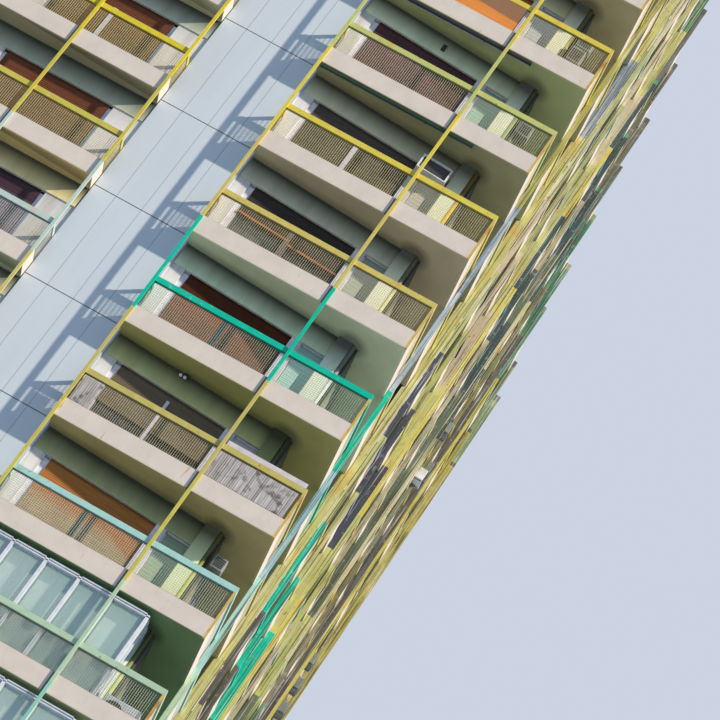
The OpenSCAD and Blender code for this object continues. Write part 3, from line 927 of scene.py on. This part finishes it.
# Downpipes
# A cast iron pipe runs down beside each corner column, and each flat has painted its own length,
# darker above the rail as painted shade. A collar marks the joint above every floor.
PIPE_PAINTS = [
    "#C8C890", "#C0C8B0", "#D0CC80", "#C8D4D0", "#CFC86A", "#C0C8A0", "#A8B890", "#D0D0B0",
    "#C8C060", "#B8C8B0", "#CCC890", "#C0CCC8", "#C8D4C0", "#C4D088", "#C2C862", "#7C8C50",
    "#E8ECEA", "#DCDCA4", "#E6C428", "#A4B484", "#C4C466", "#C8C890", "#C0C8A0", "#D0CC80",
    "#C8D4D0", "#C0C8B0",
]
pipe_paint, tree = finish("Brush painted cast iron", 0.45)
x, y, z = place(tree)
# Painted shade: the pipe darkens above the rail towards the ceiling.
shade = add(tree, "MapRange", (rise_of(tree, z), 0.78, 1.05, 1.0, 0.16))
colour = coat(tree, by_storey(tree, z, PIPE_PAINTS), shade, 1.0, "MULTIPLY")
cover(tree, coat(tree, colour, "#A8A294", speckle(tree, 0.05, most=0.3), "MULTIPLY"))
bm = bmesh.new()
foot = side(-0.5, WALL_LINE - 0.034)
for radius, low, high in ((0.024, SLAB, STOREY), (0.029, 0.12, 0.16)):
    rod(bm, foot + up(LOWEST + (low + high) / 2), Matrix(), radius, high - low, 10, True)
piece("downpipes", bm, [pipe_paint])

# Roller awnings
# Four flats have an awning under the balcony above: a steel tube with the cloth wound on it, in
# three brackets, and in all but one of them the loose hem hangs behind it.
AWNINGS = (20, 19, 9, 5)
awning_tube, tree = finish("Wound awning cloth on steel tube", 0.7)
x, y, z = place(tree)
upper = add(tree, "Math", (z, LOWEST + 19.5 * STOREY), operation="GREATER_THAN")
dark = coat(tree, "#1D4436", "#2B2A33", upper)
dark = coat(tree, dark, "#8A8A88", speckle(tree, 0.03, (0.1, 1, 1), most=0.5), "MULTIPLY")
cover(tree, dark, speckle(tree, 0.01), 0.3, 0.001)
awning_hem = mottled("Faded awning canvas", 0.85, "#C9CBDA", "#A9ABB8", 0.08, (1, 1, 1),
                     (0.006, 0.3, 0.001))
bm = bmesh.new()
lying = Matrix.Rotation(math.pi / 2, 4, "Y")
for k in AWNINGS:
    head = floor_of(k + 1)
    rod(bm, front(4.045, 0.031) + up(head - 0.022), lying, 0.021, 1.88, 12, True)
    if k != 19:
        bar(bm, front(3.11, 0.058), front(4.97, 0.058), 0.0, 0.006, head - 0.036, head - 0.001, 1)
    for x in (3.12, 4.4, 4.97):
        bar(bm, front(x, 0.04), front(x + 0.008, 0.04), 0.0, 0.034, head - 0.04, head - 0.0005)
piece("roller_awnings", bm, [awning_tube, awning_hem], stacked=False)

# Closed balconies
# Three flats have closed the corner balcony's broad part with windows of white enamelled
# aluminium from floor to ceiling, just behind the railing, with pale net curtains inside.
CLOSED_FLATS = (14, 13, 4)
MULLIONS = (3.105, 3.52, 3.9, 4.275, 4.65, 5.05)
CLOSING_LINE = 0.062
END_LINE = 5.066
closing_paint = mottled("White enamel on aluminium section", 0.35, "#DDE3EA", "#C6CDD8", 0.07)
# The clear glass is given a pale tint, a painted reflection of the sky.
pale_reflection_pane = mottled("Clear float glass", 0.04, "#B4D2CC", "#C2DAD4", 0.6, IOR=1.5, Alpha=0.3)
net = hanging("Pale net curtain", "#E2EEEC", "#CFE0DC", 0.03, 0.5, 0.006)
bm = bmesh.new()
for k in CLOSED_FLATS:
    foot, head = floor_of(k) + SLAB, floor_of(k) + 1.35
    for x in MULLIONS:
        bar(bm, front(x, CLOSING_LINE), front(x + 0.034, CLOSING_LINE), 0.0, 0.05, foot, head)
    for deep, low, high in (
        (0.05, head - 0.014, head),
        (0.05, head - 0.044, head - 0.032),
        (0.055, foot, foot + 0.04),
        (0.04, foot + 0.57, foot + 0.6),
    ):
        bar(bm, front(3.1, CLOSING_LINE), front(5.084, CLOSING_LINE), 0.0, deep, low, high)
    for x, beyond in zip(MULLIONS, MULLIONS[1:]):
        bar(bm, front(x + 0.03, 0.066), front(beyond, 0.066), 0.0, 0.004, foot, head - 0.02, 1)
        bar(bm, front(x + 0.04, 0.15), front(beyond + 0.01, 0.15), 0.0, 0.002, foot, head - 0.01, 2)
    for y in (0.085, 0.22, 0.36):
        bar(bm, front(END_LINE, y), front(END_LINE, y + 0.03), 0.0, 0.034, foot, head)
    a, b = front(END_LINE, 0.08), front(END_LINE, 0.39)
    bar(bm, a, b, 0.0, 0.034, head - 0.03, head)
    bar(bm, a, b, 0.0, 0.004, foot, head - 0.02, 1)
piece("closed_balconies", bm, [closing_paint, pale_reflection_pane, net], stacked=False)

# Screens on the railings
# One flat has tied split bamboo to its mesh and a white board to its rail, and another an
# orange canvas over the broad bay. The bamboo's canes are 12 mm thick at this scale.
CANE = 0.012
bamboo, tree = finish("Weathered split bamboo", 0.8)
x, y, z = place(tree)
cane = add(tree, "Math", (x, 2 * CANE), operation="MODULO")
cane = add(tree, "Math", (cane, CANE, 0.004), operation="COMPARE")
cane = where_all(tree, cane, speckle(tree, 0.05, (1, 1, 0.04), 2.0, 0.35, 0.6))
grey = coat(tree, "#CFCBCA", "#8E8A86", speckle(tree, 0.02, (1, 1, 0.05)))
grey = coat(tree, grey, "#5E5C58", speckle(tree, 0.11, detail=8.0, low=0.55, high=0.68))
cover(tree, coat(tree, grey, "#3C3A36", where_all(tree, cane, 0.8)), cane, 0.6, 0.006)
board = mottled("White painted board", 0.6, "#D2CED6", "#BAB6BE", 0.1)
canvas, tree = finish("Orange awning canvas", 0.8)
x, y, z = place(tree)
weave = speckle(tree, 0.02, (0.04, 1, 1))
# Painted shadow: the canvas is brown above a sloping line, where the balcony above shades it.
across = add(tree, "Math", (x, 4.09), operation="SUBTRACT")
canvas_shadow_line = add(tree, "Math", (across, 0.07, rise_of(tree, z)), operation="MULTIPLY_ADD")
orange = coat(tree, "#E8923C", "#CC7A30", weave)
orange = coat(tree, orange, "#8C6647", add(tree, "MapRange", (canvas_shadow_line, 0.4, 0.425)))
cover(tree, orange, weave, 0.5, 0.004)
bm = bmesh.new()
low, high = RAIL_FOOT + 15 * STOREY, RAIL_HEAD + 15 * STOREY
for start, stop in ((4.70, 5.60), (3.12, 3.34)):
    bar(bm, front(start, 0.006), front(stop, 0.006), 0.0, 0.008, low + 0.006, high - 0.03)
bar(bm, front(4.70, 0.058), front(5.62, 0.058), 0.0, 0.012, high + 0.07, high + 0.16, 1)
low, high = RAIL_FOOT + 20 * STOREY, RAIL_HEAD + 20 * STOREY
bar(bm, front(3.20, 0.006), front(4.61, 0.006), 0.0, 0.006, low, high, 2)
piece("railing_screens", bm, [bamboo, board, canvas], stacked=False)

# Air conditioners
# Enamelled sheet metal boxes with a round fan behind wire or a louvred grille, standing on the
# balcony floors, hung on the side walls, framed over a narrow window in one flat, and outside on
# racks bolted to the side fascias.
enamel = mottled("Weathered white enamel", 0.45, "#E4E6EA", "#C4C5C4", 0.1, (1, 1, 0.3))
grille = mottled("Dusty black louvres", 0.6, "#3A3F42", "#23282B", 0.02)
dusty = mottled("Grimy grey enamel", 0.6, "#8A918A", "#6A6F68", 0.08, (1, 1, 0.3))


def cooler(bm, a, b, deep, low, high, fan=False, skin=0):
    """A box from a to b in plan; its fan or louvres are on the side that faces outwards."""
    verts = bar(bm, a, b, 0.0, deep, low, high, skin)
    edges = {e for v in verts for e in v.link_edges}
    bmesh.ops.bevel(bm, geom=list(edges), offset=0.006, offset_type="OFFSET", segments=1,
                    profile=0.5, affect="EDGES", material=-1)
    run, back = directions(a, b)
    out = back * (-deep / 2 - 0.001)
    tall = high - low
    if fan:
        reach = tall * 0.36
        turn = turned(run) @ Matrix.Rotation(math.pi / 2, 4, "X")
        middle = (a + b) / 2 + out + up((low + high) / 2)
        middle -= run * ((b - a).length / 2 - reach - 0.02)
        for f in faces_of(rod(bm, middle, turn, reach, 0.006, 16, True)):
            f.material_index = 1
        for share in (0.55, 0.2):
            rod(bm, middle, turn, reach * share, 0.012, 12, taper=0.9)
    else:
        trim = (b - a) * 0.12
        for i in range(5):
            foot = low + tall * (0.16 + 0.15 * i)
            bar(bm, a + trim + out, b - trim + out, 0.0, 0.006, foot, foot + tall * 0.09, 1)


bm = bmesh.new()
foot = floor_of(14)
cooler(bm, front(5.17, 0.12), front(5.56, 0.12), 0.13, foot + 0.08, foot + 0.37, True)
# storey, from and to beside the corner, before or behind the wall, foot, head
INSIDE = [
    (21, -0.43, -0.25, -0.02, 0.80, 1.00), (21, -0.44, -0.27, -0.05, 0.54, 0.76),
    (20, -0.43, -0.27, 0.04, 0.75, 0.93), (15, -0.42, -0.28, 0.0, 0.98, 1.14),
]
for k, start, stop, back, low, high in INSIDE:
    cooler(bm, side(start, WALL_LINE + back), side(stop, WALL_LINE + back), 0.16,
           floor_of(k) + low, floor_of(k) + high, skin=2)
a, b = side(-1.07, WALL_LINE - 0.1), side(-0.71, WALL_LINE - 0.1)
low, high = floor_of(19) + 0.95, floor_of(19) + 1.12
edge = (b - a) * 0.05
bar(bm, a, b, 0.0, 0.1, low, high, 1)
for foot, head, start, stop in ((low - 0.012, low, a, b), (high, high + 0.012, a, b),
                                (low, high, a, a + edge), (low, high, b - edge, b)):
    bar(bm, start, stop, 0.0, 0.15, foot, head)
# along the side, foot, skin
OUTSIDE = [
    (11.42, 32.78, 2), (12.8, 33.0, 2), (12.45, 32.60, 0), (15.3, 30.9, 2), (15.75, 30.7, 2),
    (16.2, 30.5, 2), (8.3, 19.0, 0), (9.6, 9.0, 2), (5.2, 12.0, 0), (12.6, 13.45, 2),
    (16.4, 21.8, 2),
]
for ly, foot, skin in OUTSIDE:
    cooler(bm, side(0.06, ly), side(0.06, ly + 0.26), 0.12, foot, foot + 0.19, skin=skin)
    fixing = LOWEST + STOREY * round((foot - LOWEST) / STOREY) + 0.12
    for end in (ly + 0.03, ly + 0.22):
        bar(bm, side(0.006, end), side(0.006, end + 0.012), 0.0, 0.01, min(fixing, foot) - 0.03,
            max(fixing, foot) + 0.03, 2)
        bar(bm, side(0.0, end), side(0.12, end), 0.0, 0.012, foot - 0.012, foot, 2)
piece("air_conditioners", bm, [enamel, grille, dusty], stacked=False)

# Balcony lamps
# Three flats have hung a black steel lamp from the ceiling at the head of the shutter box, one
# of them a twin with two small glass faces that point down to the street.
lamp_steel = mottled("Black enamelled lamp steel", 0.5, "#1E1F20", "#303233", 0.02)
lamp_glass = mottled("Frosted lamp glass", 0.3, "#D2D4CC", "#B4B6AE", 0.01)
TWIN_LAMP = 16
bm = bmesh.new()
for k, lx, high, tall, deep in ((TWIN_LAMP, -1.76, 1.385, 0.05, 0.05), (20, -1.62, 1.28, 0.09, 0.03),
                                (9, -1.7, 1.3, 0.09, 0.03)):
    head = floor_of(k) + high
    foot = head - tall
    line = WALL_LINE - deep / 2
    bar(bm, side(lx, line), side(lx + 0.045, line), 0.0, deep, foot, head)
    for i in (0, 1) if k == TWIN_LAMP else ():
        spot = side(lx - 0.022 + 0.05 * i, WALL_LINE - 0.055) + up(foot)
        tilt = Matrix.Rotation(-0.7, 4, "X")
        for f in faces_of(rod(bm, spot, tilt, 0.019, 0.03, 10, True, 0.012 / 0.019)):
            is_glass = f.calc_center_median().z < foot - 0.008 and len(f.verts) > 4
            f.material_index = 1 if is_glass else 0
piece("balcony_lamps", bm, [lamp_steel, lamp_glass], stacked=False)

# Side windows and closed side balconies
# Along the sides each balcony has a broad light in the wall, and all but the one at the corner a
# narrow one too, framed in white. Some flats have closed theirs above the rail with bluish glass
# and painted boards in white frames.
SIDE_WALL = -0.438
bm = bmesh.new()
for g in range(SIDE_GROUPS):
    start = g * (GROUP + STRIP) + (0.12 if g else WALL_LINE + 0.35)
    stop = g * (GROUP + STRIP) + GROUP - 0.1
    if g:
        narrow = side(SIDE_WALL, start), side(SIDE_WALL, start + 0.5)
        window(bm, narrow, DOOR_FOOT + 0.35, DOOR_HEAD, 1)
    window(bm, (side(SIDE_WALL, stop - 1.2), side(SIDE_WALL, stop)), DOOR_FOOT, DOOR_HEAD, 2)
piece("side_windows", bm, [frame_paint, pane])

blue_pane = mottled("Tinted float glass", 0.06, "#2F5F86", "#5A7F94", 0.5, IOR=1.5)
infill, tree = finish("Painted infill board", 0.6)
tint = coat(tree, "#8A8580", "#3BA08C", speckle(tree, 0.6, low=0.48, high=0.52))
cover(tree, coat(tree, tint, "#A8A49C", speckle(tree, 0.05, most=0.3), "MULTIPLY"))
# balcony group along the side, storey
CLOSED_SIDES = [
    (3, 22), (3, 23), (3, 24), (1, 19), (2, 21), (4, 23), (2, 16), (4, 17), (1, 9), (3, 10),
    (2, 5), (4, 6),
]
CLOSED_LINE = -0.045
RAIL_TOP = 0.69
bm = bmesh.new()
for g, k in CLOSED_SIDES:
    start = g * (GROUP + STRIP) + 0.03
    leaf = (GROUP / 2 - 0.06) / 4
    foot = floor_of(k)
    for i in range(4):
        a, b = side(CLOSED_LINE, start + leaf * i), side(CLOSED_LINE, start + leaf * (i + 1))
        bar(bm, a, a + (b - a) * 0.1, 0.0, 0.04, foot + RAIL_TOP, foot + 1.39)
        bar(bm, a, b, 0.0, 0.012, foot + 0.73, foot + 1.36, 1 if (i + k) % 3 else 2)
        bar(bm, a, b, 0.0, 0.03, foot + 0.25, foot + RAIL_TOP, 2)
    a, b = side(CLOSED_LINE, start), side(CLOSED_LINE, start + leaf * 4)
    bar(bm, a, b, 0.0, 0.045, foot + 1.35, foot + 1.395)
    bar(bm, a, b, 0.0, 0.045, foot + RAIL_TOP, foot + 0.73)
piece("closed_side_balconies", bm, [frame_paint, blue_pane, infill], stacked=False)

# Back windows
# The plain back repeats small windows, three to each half of a storey, with white steel frames
# set in the render over sills in the same white paint.
bm = bmesh.new()
back_y = side(-0.5, SIDE_LENGTH).y + 0.012
for x in (0.7, 1.9, 3.0):
    a, b = Vector((x + 0.3, back_y, 0)), Vector((x - 0.3, back_y, 0))
    window(bm, (a, b), DOOR_FOOT + 0.4, DOOR_HEAD, 2)
    bar(bm, a, b, 0.08, 0.07, DOOR_FOOT + 0.36, DOOR_FOOT + 0.4)
piece("back_windows", bm, [frame_paint, pane])

# Ground storey glazing
# Brown anodised shopfront frames with drawn glass, set back in the openings like the balcony
# doors above, two leaves in the broad openings and one light in the narrow one.
anodised = mottled("Brown anodised aluminium", 0.35, "#5A4A3C", "#6A584A", 0.02, (1, 1, 0.05),
                   Metallic=0.6)
bm = bmesh.new()
for points, leaves in ((CENTRAL_DOOR, 2), (CORNER_DOOR, 2), (CORNER_LIGHT, 1)):
    window(bm, back_by(points, GLASS_LINE), 0.075, 1.275, leaves)
piece("ground_glazing", bm, [anodised, pane], stacked=False)

# Floor, light and camera
# Pale ground, soft sky light and one warm lamp from the front right, as the shadows on the
# blind strip show. The camera stands at street level and looks steeply up with a long lens.
scene = bpy.context.scene
bm = bmesh.new()
bmesh.ops.create_grid(bm, x_segments=1, y_segments=1, size=150.0)
ground_mesh = bpy.data.meshes.new("ground")
bm.to_mesh(ground_mesh)
bm.free()
ground = bpy.data.objects.new("ground", ground_mesh)
scene.collection.objects.link(ground)
pale, tree = finish("Pale matt ground", 0.9)
cover(tree, coat(tree, "#A9B4C2", "#C9CACB", add(tree, "LightPath", out="Is Camera Ray")))
ground_mesh.materials.append(pale)
ground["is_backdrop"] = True

world = bpy.data.worlds.new("Soft sky")
scene.world = world
world.use_nodes = True
tree = world.node_tree
rays = add(tree, "LightPath").node.outputs
seen = where_any(tree, rays["Is Camera Ray"], rays["Is Glossy Ray"])
background = tree.nodes["Background"]
tree.links.new(coat(tree, "#ADD0FA", "#CBD3E2", seen), background.inputs[0])
tree.links.new(add(tree, "MapRange", (seen, 0.0, 1.0, 0.5, 1.0)), background.inputs[1])

lamp = bpy.data.lights.new("low sun", "SUN")
lamp.energy = 5.55
lamp.color = (1.0, 0.862, 0.704)
lamp.angle = math.radians(1.5)
sun = bpy.data.objects.new("low sun", lamp)
sun.rotation_mode = "QUATERNION"
sun.rotation_quaternion = Vector((-0.725, 0.382, -0.565)).to_track_quat("-Z", "Y")
scene.collection.objects.link(sun)

lens = bpy.data.cameras.new("street camera")
lens.sensor_width = 36.0
lens.lens = 206.65
lens.clip_start, lens.clip_end = 1.0, 500.0
camera = bpy.data.objects.new("street camera", lens)
camera.location = (11.8508, -42.9019, 0.811)
camera.rotation_euler = [math.radians(a) for a in (130.52944, -28.18967, -11.14945)]
scene.collection.objects.link(camera)
bpy.context.scene.camera = camera
scene.view_settings.view_transform = "Standard"

low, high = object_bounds()
